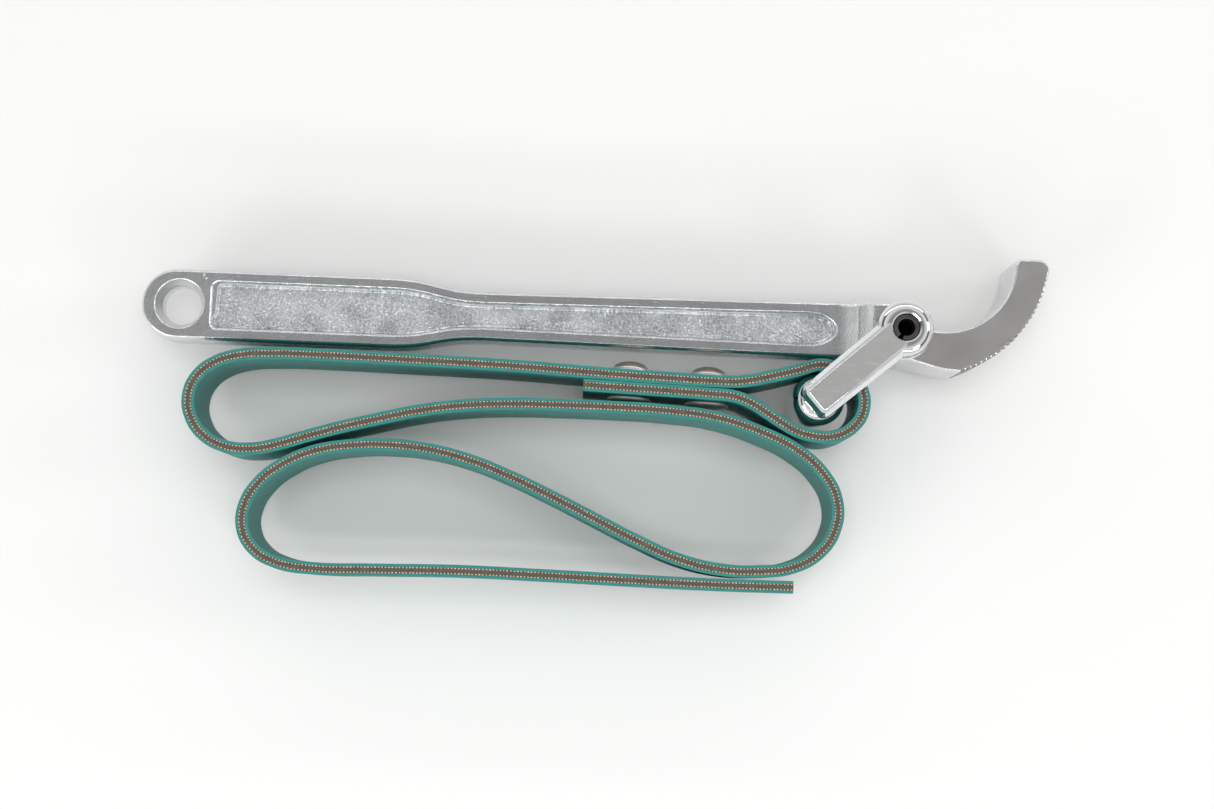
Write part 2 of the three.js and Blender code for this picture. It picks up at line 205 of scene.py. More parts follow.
def mirror_down(piece):
    """Makes the whole piece from its upper half: the middle face goes, the rest is mirrored."""
    pick(piece, lambda middle, normal: abs(middle.z) < 1e-3 and abs(normal.z) > 0.99)
    bpy.ops.mesh.delete(type="FACE")
    done()
    use(piece, "MIRROR", use_axis=(False, False, True), use_clip=True, merge_threshold=0.002)
    edit(piece)
    bpy.ops.mesh.select_all(action="SELECT")
    bpy.ops.mesh.remove_doubles(threshold=0.002)
    bpy.ops.mesh.normals_make_consistent(inside=False)
    done()


def bring_home(piece, corner=30):
    """Smooths a piece up to its sharp corners and sets it on the hinge, in metres."""
    take(piece)
    bpy.ops.object.shade_smooth_by_angle(angle=radians(corner))
    use(piece, "WEIGHTED_NORMAL", keep_sharp=True, weight=80)
    piece.scale = (MILLIMETRE,) * 3
    piece.location = pivot
    bpy.ops.object.transform_apply(location=True, rotation=True, scale=True)


hanging_end, hanging_hole = -223.18, -222.28
grip_end, taper_end = -158.58, -128.58
grip_half, shank_half, head_half = 11.2, 7.8, 9.2
half_thickness = 7.0
taper_pull = 15.0


def half_width(x):
    return shank_half + (head_half - shank_half) * (x - taper_end) / -taper_end


# The shank and grip, drafted from the parting line and rounded up to the flat land.
end_pull = ROUND_END * grip_half
sides = [
    ((hanging_end, -grip_half), (-end_pull, 0), STRAIGHT),
    ((grip_end, -grip_half), STRAIGHT, (taper_pull, 0)),
    ((taper_end, -shank_half), (-taper_pull, 0), STRAIGHT),
    ((0, -head_half), STRAIGHT, STRAIGHT),
    ((0, head_half), STRAIGHT, STRAIGHT),
    ((taper_end, shank_half), STRAIGHT, (-taper_pull, 0)),
    ((grip_end, grip_half), (taper_pull, 0), STRAIGHT),
    ((hanging_end, grip_half), STRAIGHT, (-end_pull, 0)),
    ((hanging_end - grip_half, 0), (0, end_pull), (0, -end_pull)),
]
handle = build_up(
    draw_face("forged_handle", sides, 0, 20),
    [(0, 0), (0.08, 0.4), (0.25, 5.0), *rounding(0.25, 5.0, 1.1, 2.0, 8)])

# The sunk panel: a worn shoulder, then a leaning wall and a filleted floor. The wall's end
# near the hanging hole was never dressed straight.
rim = 3.3
panel_corner = 2.6
panel_start = hanging_end + 10.1
panel_end, end_length = -28.6, 9.4


def panel_sides(inside, near_end):
    """The panel's outline, `inside` the shoulder's edge, closed by the knots of its near end."""
    half, narrow = grip_half - rim - inside, shank_half - rim - inside
    end_half = half_width(panel_end) - rim - inside
    tip = panel_end + end_length - inside
    long_pull, wide_pull = ROUND_END * (tip - panel_end), ROUND_END * end_half
    return [
        ((panel_start + 6, -half), STRAIGHT, STRAIGHT),
        ((grip_end, -half), STRAIGHT, (taper_pull, 0)),
        ((taper_end, -narrow), (-taper_pull, 0), STRAIGHT),
        ((panel_end, -end_half), STRAIGHT, (long_pull, 0)),
        ((tip, 0), (0, -wide_pull), (0, wide_pull)),
        ((panel_end, end_half), (long_pull, 0), STRAIGHT),
        ((taper_end, narrow), STRAIGHT, (-taper_pull, 0)),
        ((grip_end, half), (taper_pull, 0), STRAIGHT),
        ((panel_start + 6, half), STRAIGHT, STRAIGHT),
        *near_end,
    ]


def corner_knots(x, half, radius):
    """A square end with rounded corners."""
    pull = ROUND_END * radius
    return [
        ((x + radius, half), STRAIGHT, (-pull, 0)), ((x, half - radius), (0, pull), STRAIGHT),
        ((x, radius - half), STRAIGHT, (0, -pull)), ((x + radius, -half), (-pull, 0), STRAIGHT),
    ]


# The hanging hole, with a funnel down to its bore.
cut(handle, turn("hole_cutter", [
    (8.15, 8), (8.0, 7.02), (7.8, 6.97), (7.6, 6.86), (7.44, 6.68), (7.34, 6.42),
    (6.85, 4.6), (6.38, 3.1),
    (6.18, 2.7), (6.04, 2.3), (6.0, 1.8), (6.0, -1)], centre=(hanging_hole, 0)))

# The neck swells in a hollow curve to the head: half heights along it, as wide as the shank.
neck_stations = [
    (x, half_width(x) - 0.3, half_high) for x, half_high in (
        (-30, 5.6), (-25, 6.6), (-22, 6.93), (-20, 7.03), (-18, 7.22), (-16, 7.62), (-14, 8.3),
        (-12.5, 9.15), (-11.2, 10.3), (-10.2, 11.4), (-9.4, 12.3), (-8.6, 12.85), (-4, 12.95))]
start, half_wide, half_high = neck_stations[0]
neck = add(bpy.ops.mesh.primitive_plane_add, "neck", size=2, location=(start, 0, 0),
           rotation=(0, pi / 2, 0), scale=(1, 1, 1))
bpy.ops.object.transform_apply(location=True, rotation=True, scale=True)
edit(neck, "VERT")
bpy.ops.mesh.select_all(action="SELECT")
bpy.ops.mesh.bevel(offset=0.2, segments=8, affect="VERTICES")
bpy.ops.mesh.select_all(action="SELECT")
bpy.ops.mesh.select_mode(type="FACE")
bpy.ops.transform.resize(value=(1, half_wide, half_high), center_override=(start, 0, 0))
for x, wide, high in neck_stations[1:]:
    bpy.ops.mesh.extrude_region_move(TRANSFORM_OT_translate={"value": (x - start, 0, 0)})
    bpy.ops.transform.resize(
        value=(1, wide / half_wide, high / half_high), center_override=(x, 0, 0))
    start, half_wide, half_high = x, wide, high
bpy.ops.mesh.select_all(action="SELECT")
bpy.ops.mesh.normals_make_consistent(inside=False)
bpy.ops.mesh.bisect(
    plane_co=(0, 0, 0), plane_no=(0, 0, 1), use_fill=True, clear_inner=True)
done()
weld(handle, neck)

floor_height = 4.4
shoulder = 0.95
wall_half = grip_half - rim - shoulder
crooked_end = [
    ((-209.2, wall_half), STRAIGHT, (-1.1, 0)),
    ((-211.1, wall_half - 1.9), (0, 1.1), (0, -2.4)),
    ((-211.4, -1.8), (0, 1.2), (-0.2, -1.2)),
    ((-212.3, -4.4), (0, 0.9), (0, -0.9)),
    ((-210.6, -wall_half), (-0.9, 0.1), STRAIGHT),
]
shoulder_edge = corner_knots(panel_start, grip_half - rim, panel_corner)
cut(handle, build_up(
    draw_face("shoulder_cutter", panel_sides(0, shoulder_edge), half_thickness + 2, 16),
    [(0, 9), (0, 7.04), (0.2, 6.98), (0.45, 6.85), (0.68, 6.6), (0.8, 6.42)], downwards=True))
cut(handle, build_up(
    draw_face("panel_cutter", panel_sides(shoulder, crooked_end), half_thickness + 1, 16),
    [(0, 8), (0, 6.5), (0.05, 6.3), (0.12, 6.12), (0.36, 5.1), (0.44, 4.8), (0.58, 4.55),
     (0.82, floor_height)], downwards=True))

head_height = 13.0
weld(handle, turn("head", [
    (head_half, 0), (head_half, 12.1), (head_half - 0.1, 12.5), (head_half - 0.4, 12.85),
    (head_half - 0.9, head_height)]))

# The jaw: a belly under the head, the toothed outer arc, a chamfered tip, the inner arc.
outer_centre, outer_radius = Vector((5.6, 25.6)), 39.6
inner_centre, inner_radius = Vector((12.5, 22.2)), 22.0
heel_angle, toe_angle = -72.2, -9.0
teeth, tooth_pitch, tooth_radius, tooth_depth = 23, 2.62, 0.72, 1.0  # pitch in degrees
first_tooth = 0.6  # in pitches from the heel
belly_pull = 8.7
tip_height, jaw_reach, jaw_side = 23.6, 45.017, 12.0


def round_from(centre, radius, degrees):
    return centre + radius * Vector((cos(radians(degrees)), sin(radians(degrees))))


def arc(centre, radius, start, end, steps):
    """Knots along an arc, with the pulls that keep it round."""
    turned = (end - start) / steps
    pull = 4 / 3 * sin(radians(turned) / 4) / cos(radians(turned) / 4) * radius
    knots = []
    for step in range(steps + 1):
        degrees = start + turned * step
        heading = round_from(Vector((0, 0)), pull, degrees + 90)
        before = STRAIGHT if step == 0 else tuple(-heading)
        after = STRAIGHT if step == steps else tuple(heading)
        knots.append((tuple(round_from(centre, radius, degrees)), before, after))
    return knots


jaw_outline = [
    ((-2, -8.8), STRAIGHT, (7, 0)),
    *arc(outer_centre, outer_radius, heel_angle, toe_angle, 5),
    ((jaw_reach, 20.6), STRAIGHT, (0, 1.2)),
    ((jaw_reach - 1.9, tip_height - 0.35), (0.9, -0.6), STRAIGHT),
    ((jaw_reach - 3.2, tip_height), (0.5, 0), STRAIGHT),
    ((35.6, tip_height), STRAIGHT, STRAIGHT),
    *arc(inner_centre, inner_radius, 0, -100.8, 4),
    ((-2, 1.5), STRAIGHT, STRAIGHT),
]
# The belly runs into the heel level, where the outer arc starts.
heel, _, along_arc = jaw_outline[1]
jaw_outline[1] = (heel, (-belly_pull, 0), along_arc)
jaw = build_up(
    draw_face("jaw", jaw_outline, 0, 12),
    [(0, 0), (0, 11.2), (0.06, 11.42), (0.22, 11.68), (0.46, 11.9), (0.72, jaw_side)])
milled = []
for tooth in range(teeth):
    x, y = round_from(outer_centre, outer_radius + tooth_radius - tooth_depth,
                      heel_angle + tooth_pitch * (tooth + first_tooth))
    milled.append(turn("groove", [(tooth_radius, -1), (tooth_radius, 13)], (x, y), around=16))
take(milled[0])
for groove in milled:
    groove.select_set(True)
bpy.ops.object.join()
cut(jaw, milled[0])
weld(handle, jaw)

pivot_bore = 4.15
cut(handle, turn("bore_cutter", [(pivot_bore, -1), (pivot_bore, 14)], around=64))

# Two pips that the forging die left on the upper flange, near the hanging end.
for x, y, radius in ((-215.2, 9.2, 0.5), (-214.4, 8.25, 0.38)):
    pip = add(bpy.ops.mesh.primitive_uv_sphere_add, "pip", segments=16, ring_count=10,
              radius=radius, location=(x, y, 6.85))
    bpy.ops.object.transform_apply(location=True, rotation=True, scale=True)
    weld(handle, pip)
mirror_down(handle)


def node_material(name):
    """A material with its Principled shader, and a way to add nodes to it."""
    material = bpy.data.materials.new(name)
    material.use_nodes = True
    return material, material.node_tree, material.node_tree.nodes["Principled BSDF"]


def node(tree, kind, inputs=None, **settings):
    made = tree.nodes.new(kind)
    for key, value in settings.items():
        setattr(made, key, value)
    for key, value in (inputs or {}).items():
        if isinstance(value, bpy.types.NodeSocket):
            tree.links.new(value, made.inputs[key])
        else:
            made.inputs[key].default_value = value
    return made


def ramp(tree, value, stops):
    """A colour ramp between stops of (position, colour)."""
    made = node(tree, "ShaderNodeValToRGB", {"Fac": value})
    elements = made.color_ramp.elements
    while len(elements) < len(stops):
        elements.new(0.5)
    for element, (position, colour) in zip(elements, stops):
        element.position = position
        element.color = (*colour, 1) if len(colour) == 3 else colour
    return made.outputs["Color"]


def new_group(name, inputs, outputs):
    """A shader node group with named sockets, and its two ends."""
    tree = bpy.data.node_groups.new(name, "ShaderNodeTree")
    for title, kind, value in inputs:
        socket = tree.interface.new_socket(title, in_out="INPUT", socket_type=kind)
        if value is not None:
            socket.default_value = value
    for title, kind in outputs:
        tree.interface.new_socket(title, in_out="OUTPUT", socket_type=kind)
    return tree, tree.nodes.new("NodeGroupInput"), tree.nodes.new("NodeGroupOutput")


FLOAT, VECTOR = "NodeSocketFloat", "NodeSocketVector"

# What polishing and handling leave on plate: faint haze, fine scratches, a soft waviness.
plate_wear, given, wear_out = new_group(
    "plate_wear",
    [("Vector", VECTOR, None), ("Roughness", FLOAT, 0.1), ("Haze", FLOAT, 0.08),
     ("Scratches", FLOAT, 0.05), ("Waviness", FLOAT, 0.3), ("Grain", FLOAT, 0.2)],
    [("Roughness", FLOAT), ("Normal", VECTOR), ("Dust", FLOAT)])
haze = node(plate_wear, "ShaderNodeTexNoise", {
    "Vector": given.outputs["Vector"], "Scale": 90.0, "Detail": 5.0, "Roughness": 0.6})
stretched = node(plate_wear, "ShaderNodeMapping", {
    "Vector": given.outputs["Vector"], "Scale": (180.0, 2600.0, 1400.0),
    "Rotation": (0.0, 0.0, radians(8))})
scratch = node(plate_wear, "ShaderNodeTexNoise", {
    "Vector": stretched.outputs["Vector"], "Scale": 1.0, "Detail": 3.0})
lines = node(plate_wear, "ShaderNodeMapRange", {
    "Value": scratch.outputs["Fac"], "From Min": 0.56, "From Max": 0.72})
hazed = node(plate_wear, "ShaderNodeMath", {
    0: haze.outputs["Fac"], 1: given.outputs["Haze"]}, operation="MULTIPLY")
scratched = node(plate_wear, "ShaderNodeMath", {
    0: lines.outputs["Result"], 1: given.outputs["Scratches"]}, operation="MULTIPLY")
rough = node(plate_wear, "ShaderNodeMath", {
    0: given.outputs["Roughness"], 1: hazed.outputs[0]}, operation="ADD")
rougher = node(plate_wear, "ShaderNodeMath", {
    0: rough.outputs[0], 1: scratched.outputs[0]}, operation="ADD", use_clamp=True)
wave = node(plate_wear, "ShaderNodeTexNoise", {
    "Vector": given.outputs["Vector"], "Scale": 160.0, "Detail": 1.0})
waved = node(plate_wear, "ShaderNodeBump", {
    "Height": wave.outputs["Fac"], "Strength": given.outputs["Waviness"],
    "Distance": 0.00022})
speckle = node(plate_wear, "ShaderNodeTexNoise", {
    "Vector": given.outputs["Vector"], "Scale": 2200.0, "Detail": 2.0})
speckled = node(plate_wear, "ShaderNodeBump", {
    "Height": speckle.outputs["Fac"], "Strength": given.outputs["Grain"],
    "Distance": 0.00012, "Normal": waved.outputs["Normal"]})
plate_wear.links.new(rougher.outputs[0], wear_out.inputs["Roughness"])
plate_wear.links.new(speckled.outputs["Normal"], wear_out.inputs["Normal"])
plate_wear.links.new(haze.outputs["Fac"], wear_out.inputs["Dust"])


def plated(name, colour, dull, roughness, haze, scratches, waviness, grain=0.0, metal=1.0):
    """Bright plate: the colour drifts a little between clean and dull."""
    material, tree, shader = node_material(name)
    place = node(tree, "ShaderNodeTexCoord").outputs["Object"]
    wear = node(tree, "ShaderNodeGroup", node_tree=plate_wear)
    for title, value in (("Roughness", roughness), ("Haze", haze),
                         ("Scratches", scratches), ("Waviness", waviness), ("Grain", grain)):
        wear.inputs[title].default_value = value
    tree.links.new(place, wear.inputs["Vector"])
    tint = ramp(tree, wear.outputs["Dust"], [(0.35, colour), (0.7, dull)])
    tree.links.new(tint, shader.inputs["Base Color"])
    tree.links.new(wear.outputs["Roughness"], shader.inputs["Roughness"])
    tree.links.new(wear.outputs["Normal"], shader.inputs["Normal"])
    shader.inputs["Metallic"].default_value = metal
    return material


forged_chrome = plated(
    "forged_chrome", (0.80, 0.81, 0.82), (0.66, 0.67, 0.68), 0.09, 0.14, 0.14, 0.45, 0.8)

# The panel keeps the die's orange peel under its plate: pebbles half a millimetre across.
pebbled_panel, tree, shader = node_material("pebbled_panel")
place = node(tree, "ShaderNodeTexCoord").outputs["Object"]
pebbles = node(tree, "ShaderNodeTexVoronoi", {
    "Vector": place, "Scale": 1500.0, "Smoothness": 0.3, "Randomness": 1.0},
    feature="SMOOTH_F1")
crawl = node(tree, "ShaderNodeTexNoise", {
    "Vector": place, "Scale": 1900.0, "Detail": 1.0, "Roughness": 0.5})
relief = node(tree, "ShaderNodeMath", {
    0: pebbles.outputs["Distance"], 1: crawl.outputs["Fac"]}, operation="ADD")
cast = node(tree, "ShaderNodeBump", {
    "Height": relief.outputs[0], "Strength": 0.8, "Distance": 0.00024})
patches = node(tree, "ShaderNodeTexNoise", {
    "Vector": place, "Scale": 120.0, "Detail": 4.0})
mottled = node(tree, "ShaderNodeMath", {
    0: pebbles.outputs["Distance"], 1: 0.6, 2: patches.outputs["Fac"]}, operation="MULTIPLY_ADD")
tint = ramp(tree, mottled.outputs[0], [
    (0.55, (0.50, 0.53, 0.54)), (0.95, (0.90, 0.92, 0.93))])
rough = node(tree, "ShaderNodeMapRange", {
    "Value": patches.outputs["Fac"], "To Min": 0.26, "To Max": 0.36})
tree.links.new(tint, shader.inputs["Base Color"])
tree.links.new(rough.outputs["Result"], shader.inputs["Roughness"])
tree.links.new(cast.outputs["Normal"], shader.inputs["Normal"])
shader.inputs["Metallic"].default_value = 1.0

# Ground flat and left satin: a grey bloom with a fine, even grain.
satin_jaw, tree, shader = node_material("satin_jaw")
place = node(tree, "ShaderNodeTexCoord").outputs["Object"]
grain = node(tree, "ShaderNodeTexNoise", {
    "Vector": place, "Scale": 5200.0, "Detail": 2.0})
blooms = node(tree, "ShaderNodeTexNoise", {
    "Vector": place, "Scale": 70.0, "Detail": 3.0})
tint = ramp(tree, blooms.outputs["Fac"], [
    (0.3, (0.50, 0.49, 0.48)), (0.7, (0.58, 0.57, 0.56))])
rough = node(tree, "ShaderNodeMapRange", {
    "Value": blooms.outputs["Fac"], "To Min": 0.36, "To Max": 0.46})
fine = node(tree, "ShaderNodeBump", {
    "Height": grain.outputs["Fac"], "Strength": 0.25, "Distance": 0.00005})
tree.links.new(tint, shader.inputs["Base Color"])
tree.links.new(rough.outputs["Result"], shader.inputs["Roughness"])
tree.links.new(fine.outputs["Normal"], shader.inputs["Normal"])
shader.inputs["Metallic"].default_value = 1.0


def paint(piece, test, material):
    """Gives a material of its own to the faces that pass the test."""
    piece.data.materials.append(material)
    pick(piece, test)
    piece.active_material_index = len(piece.data.materials) - 1
    bpy.ops.object.material_slot_assign()
    done()


def in_panel(middle, normal):
    """The panel's floor, with the fillet round it."""
    along = panel_start < middle.x < panel_end + grip_half
    return along and floor_height - 0.1 < abs(middle.z) < 5.0 and abs(normal.z) > 0.3


def in_tooth(middle, normal):
    """The walls of the milled grooves, between the heel and the jaw's tip."""
    spread = hypot(middle.x - outer_centre.x, middle.y - outer_centre.y)
    on_arc = middle.x > heel[0] and middle.y < 18 and 37.8 < spread < outer_radius - 0.1
    return on_arc and abs(normal.z) < 0.05


# The milled roots of the teeth are painted darker than the plate round them: painted shade in the grooves.
tooth_roots_painted_shade = plated(
    "tooth_roots_painted_shade", (0.50, 0.49, 0.48), (0.38, 0.37, 0.35), 0.38, 0.2, 0.1, 0.4)
handle.data.materials.clear()
handle.data.materials.append(forged_chrome)
paint(handle, in_panel, pebbled_panel)
paint(handle, lambda middle, normal: abs(abs(middle.z) - jaw_side) < 0.01 and middle.x > 4,
      satin_jaw)
# The groove walls take the painted shade.
paint(handle, in_tooth, tooth_roots_painted_shade)
bring_home(handle)
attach(handle, "handle")
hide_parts("handle")

# ---------------------------------------------------------------- shackle
# One forging, chrome plated and polished: two arms with round hubs astride the head,
# their outer sides faceted to a flat ridge, joined by the round bar that the belt loops.
rest_turn = hinges["belt_swivel"] - pivot
arm_length = hypot(rest_turn.x, rest_turn.y) / MILLIMETRE
window_half, outer_face = 13.5, 19.5
arm_end = arm_length + 4.4
hub_half, end_half, arm_corner = 6.35, 6.0, 3.0
bar_radius = 8
tight_pull = ROUND_END * arm_corner
arm_outline = [
    ((0, -hub_half), STRAIGHT, STRAIGHT),
    ((arm_end - arm_corner, -end_half), STRAIGHT, (tight_pull, 0)),
    ((arm_end, arm_corner - end_half), (0, -tight_pull), STRAIGHT),
    ((arm_end, end_half - arm_corner), STRAIGHT, (0, tight_pull)),
    ((arm_end - arm_corner, end_half), (tight_pull, 0), STRAIGHT),
    ((0, hub_half), STRAIGHT, STRAIGHT),
]
shackle = build_up(
    draw_face("swing_shackle", arm_outline, window_half, 8),
    [(0, 13.5), (0, 16.2), (0.06, 16.6), (0.22, 16.95), (1.15, 18.3), (1.4, 18.62),
     (2.05, 19.28), (2.2, 19.41), (2.4, outer_face)])
weld(shackle, turn("hub", [
    (8.5, window_half), (8.5, 16.9), (8.42, 17.45), (8.15, 18.05), (7.7, 18.55),
    (7.1, 18.95), (6.4, 19.25), (5.7, 19.42), (5.0, outer_face)]))
cut(shackle, turn("hub_bore", [
    (pivot_bore, 12), (pivot_bore, 18.95), (4.22, 19.1), (4.7, 19.5), (5.1, 19.9)]))
weld(shackle, turn("crossbar", [
    (bar_radius, 0), (bar_radius, 8.6), (7.93, 9.7), (7.7, 10.7), (7.3, 11.6), (6.75, 12.35), (6.1, 12.95),
    (5.3, 13.4), (4.4, 13.7), (3.5, 13.9)], centre=(arm_length, 0)))
mirror_down(shackle)
polished_chrome = plated(
    "polished_chrome", (0.82, 0.83, 0.84), (0.74, 0.75, 0.76), 0.05, 0.06, 0.08, 0.25)
satin_ridge = plated(
    "satin_ridge", (0.80, 0.80, 0.79), (0.70, 0.70, 0.69), 0.32, 0.16, 0.12, 0.6, 0.25)
shackle.data.materials.clear()
shackle.data.materials.append(polished_chrome)
paint(shackle, lambda middle, normal: abs(abs(middle.z) - outer_face) < 0.01 and middle.x > 6,
      satin_ridge)
take(shackle)
shackle.rotation_euler.z = -Vector((1, 0)).angle_signed(Vector((rest_turn.x, rest_turn.y)))
bpy.ops.object.transform_apply(location=False, rotation=True, scale=False)
bring_home(shackle)
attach(shackle, "shackle")
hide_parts("shackle")

# ---------------------------------------------------------------- pivot pin
# A slotted spring pin: strip steel rolled into a C, hardened and left dark, driven
# through both hubs and the head, a little below the face of each hub.
pin_radius, pin_bore, pin_half, pin_edge = 4.0, 2.6, 19.0, 0.4
slot_centre, slot_open = -118.0, 24.0  # degrees
pin = add(bpy.ops.mesh.primitive_plane_add, "spring_pin", size=1,
          location=((pin_radius + pin_bore) / 2, 0, 0), rotation=(pi / 2, 0, 0))
pin.scale = (pin_radius - pin_bore, 2 * pin_half, 1)
bpy.ops.object.transform_apply(location=True, rotation=True, scale=True)
edit(pin, "VERT")
bpy.ops.mesh.select_all(action="SELECT")
bpy.ops.mesh.bevel(offset=pin_edge, segments=4, affect="VERTICES")
bpy.ops.mesh.select_all(action="SELECT")
bpy.ops.mesh.select_mode(type="FACE")
bpy.ops.transform.rotate(
    value=-radians(slot_centre + slot_open / 2), orient_axis="Z", center_override=(0, 0, 0))
bpy.ops.mesh.spin(steps=72, angle=-radians(360 - slot_open), center=(0, 0, 0), axis=(0, 0, 1))
bpy.ops.mesh.select_all(action="SELECT")
bpy.ops.mesh.normals_make_consistent(inside=False)
done()
dark_steel = plated(
    "dark_spring_steel", (0.085, 0.083, 0.082), (0.14, 0.13, 0.12), 0.30, 0.3, 0.1, 0.5)
pin.data.materials.append(dark_steel)
bring_home(pin)
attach(pin, "shackle")
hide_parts("pivot_pin")

# ---------------------------------------------------------------- belt
# A flat drive belt: a laminated tension core between two plies of woven fabric, with a
# teal rubber face bonded to each side. It is cut square, looped round the crossbar and
# lapped onto itself, and its free end is coiled beside the handle.
belt_width, core_half, ply, face_thickness = 25.0, 0.95, 0.34, 0.95
belt_half = core_half + face_thickness
lap_middle, lap_angle = Vector((-70.6, -19.6)), radians(-1.75)
lap_along = Vector((cos(lap_angle), sin(lap_angle)))
lap_across = Vector((-lap_along.y, lap_along.x))
strand = belt_half + 0.04  # each strand's middle line, from the middle of the lap
rivet_spacing, rivet_to_cut_end = 24.3, 14.4
rivet_hole = 2.65  # radius
cut_end = -rivet_spacing / 2 - rivet_to_cut_end
bar_middle = Vector((rest_turn.x, rest_turn.y)) / MILLIMETRE
bar_gap = 0.3
on_bar = bar_radius + bar_gap + belt_half


def at_lap(along, across):
    return tuple(lap_middle + along * lap_along + across * lap_across)


def round_bar(degrees, slack):
    return tuple(round_from(bar_middle, on_bar + slack, degrees))


route = [
    # the short strand, under the lap, and down to the crossbar
    at_lap(cut_end, -strand), at_lap(-12, -strand), at_lap(0, -strand), at_lap(12, -strand - 0.05),
    at_lap(20, -strand - 0.35),
    (-45.5, -24.4), (-41, -27), (-36.5, -29.8), (-31.5, -32.4),
    # round the crossbar, slack on its far side
    round_bar(-98, 1.4), round_bar(-68, 2.1), round_bar(-38, 3.2), round_bar(-10, 3.7),
    round_bar(18, 3), round_bar(48, 1.4), round_bar(75, 0.4), round_bar(94, 0.2),
    # back to the lap, over the short strand
    (-31, -13.4), (-36, -14.8), (-41, -16.1), (-45.5, -17.2),
    at_lap(20, strand + 0.35), at_lap(12, strand + 0.05), at_lap(0, strand), at_lap(-14, strand),
    at_lap(-28, strand + 0.1),
    # along the handle to its hanging end, and back underneath
    (-116, -15.9), (-136, -15.4), (-156, -15.1), (-176, -14.8), (-192, -14.9),
    (-202.5, -15.9), (-209.6, -18.4), (-214.6, -22.8), (-216.8, -28.8), (-215.6, -35.2),
    (-211.4, -40.6), (-204.6, -43.8), (-197, -44.2), (-190, -42.8), (-181, -39.9),
    (-171, -36.8), (-160.5, -34), (-147.5, -30.8), (-134, -28.6), (-118, -27.4),
    (-103, -27.2), (-88, -27.2), (-72, -27.6), (-56, -29.2), (-42, -33.2),
    # the large loop below the shackle
    (-30.9, -38.4), (-23.2, -45), (-18.9, -53), (-19.2, -61.6), (-24, -69.2), (-32, -73.8),
    (-42, -75.3), (-53.5, -75.2), (-66.3, -72.6), (-79.5, -67.3), (-92.5, -61.2),
    (-105.5, -55.1), (-118.4, -49.5), (-131, -45), (-144, -42.2), (-157, -41.4),
    (-168.5, -42.2), (-178.5, -44.4), (-187, -48.4), (-193.6, -53.8), (-197.8, -60.8),
    (-198.2, -68), (-194.6, -74.2), (-187.6, -78), (-176.5, -79.5), (-160, -79.3),
    (-133, -78.7), (-106, -79), (-79, -79.5), (-55, -79.8), (-31.4, -79.7),
]
belt_line = add(bpy.ops.curve.primitive_bezier_curve_add, "belt_line")
belt_line.data.dimensions = "2D"
belt_line.data.resolution_u = 24
knots = belt_line.data.splines[0].bezier_points
knots.add(len(route) - len(knots))
for knot, (x, y) in zip(knots, route):
    knot.co = (x, y, 0)
    knot.handle_left_type = knot.handle_right_type = "AUTO"
bpy.context.view_layer.update()
belt_length = belt_line.data.splines[0].calc_length()


def strap(name, inner, outer, edge):
    """A straight strip of one layer, as long as the belt, with its corners rubbed round."""
    piece = add(bpy.ops.mesh.primitive_cube_add, name, size=1,
                location=(belt_length / 2, (inner + outer) / 2, 0))
    piece.scale = (belt_length, outer - inner, belt_width)
    bpy.ops.object.transform_apply(location=True, rotation=True, scale=True)
    edit(piece, "EDGE")
    bpy.ops.mesh.select_all(action="SELECT")
    bpy.ops.mesh.bevel(offset=edge, segments=2, affect="EDGES")
    done()
    return piece


def lay(piece):
    """Cuts a strip into short lengths, keeps its flat pattern as UVs, and bends it to its route."""
    for _ in range(2):
        pick(piece, lambda a, b: abs(a.x - b.x) > 3, "EDGE")
        bpy.ops.mesh.subdivide(number_cuts=24)
        done()
    mesh = piece.data
    flat = mesh.uv_layers.active or mesh.uv_layers.new()
    flat.name = "flat_pattern"
    for face in mesh.polygons:
        edge_on = abs(face.normal.z) > 0.7
        for corner in face.loop_indices:
            x, y, z = mesh.vertices[mesh.loops[corner].vertex_index].co
            flat.data[corner].uv = (x / 100, (y if edge_on else z) / 100)
    use(piece, "CURVE", object=belt_line, deform_axis="POS_X")
    for end in (-1, 1):
        x, y = at_lap(end * rivet_spacing / 2, 0)
        drill = add(bpy.ops.mesh.primitive_cylinder_add, "drill", vertices=32, radius=rivet_hole,
                    depth=4 * belt_half + 1, location=(x, y, 0), rotation=(pi / 2, 0, lap_angle))
        bpy.ops.object.transform_apply(location=True, rotation=True, scale=True)
        cut(piece, drill)


# Streaks that run along the belt, for its rubber and its core alike.
belt_grain, given, grain_out = new_group(
    "belt_grain",
    [("Length", FLOAT, 60.0), ("Across", FLOAT, 1200.0), ("Contrast", FLOAT, 0.5)],
    [("Mask", FLOAT), ("Fine", FLOAT)])
flat = node(belt_grain, "ShaderNodeUVMap", uv_map="flat_pattern")
apart = node(belt_grain, "ShaderNodeSeparateXYZ", {0: flat.outputs["UV"]})
run = node(belt_grain, "ShaderNodeMath", {
    0: apart.outputs["X"], 1: given.outputs["Length"]}, operation="MULTIPLY")
over = node(belt_grain, "ShaderNodeMath", {
    0: apart.outputs["Y"], 1: given.outputs["Across"]}, operation="MULTIPLY")
both = node(belt_grain, "ShaderNodeCombineXYZ", {"X": run.outputs[0], "Y": over.outputs[0]})
streaks = node(belt_grain, "ShaderNodeTexNoise", {
    "Vector": both.outputs[0], "Scale": 1.0, "Detail": 4.0, "Roughness": 0.62})
spread = node(belt_grain, "ShaderNodeMapRange", {
    "Value": streaks.outputs["Fac"], "From Min": 0.3, "From Max": 0.7})
kept = node(belt_grain, "ShaderNodeMath", {
    0: spread.outputs["Result"], 1: given.outputs["Contrast"]}, operation="MULTIPLY")
specks = node(belt_grain, "ShaderNodeTexNoise", {
    "Vector": flat.outputs["UV"], "Scale": 420.0, "Detail": 3.0})
belt_grain.links.new(kept.outputs[0], grain_out.inputs["Mask"])
belt_grain.links.new(specks.outputs["Fac"], grain_out.inputs["Fine"])


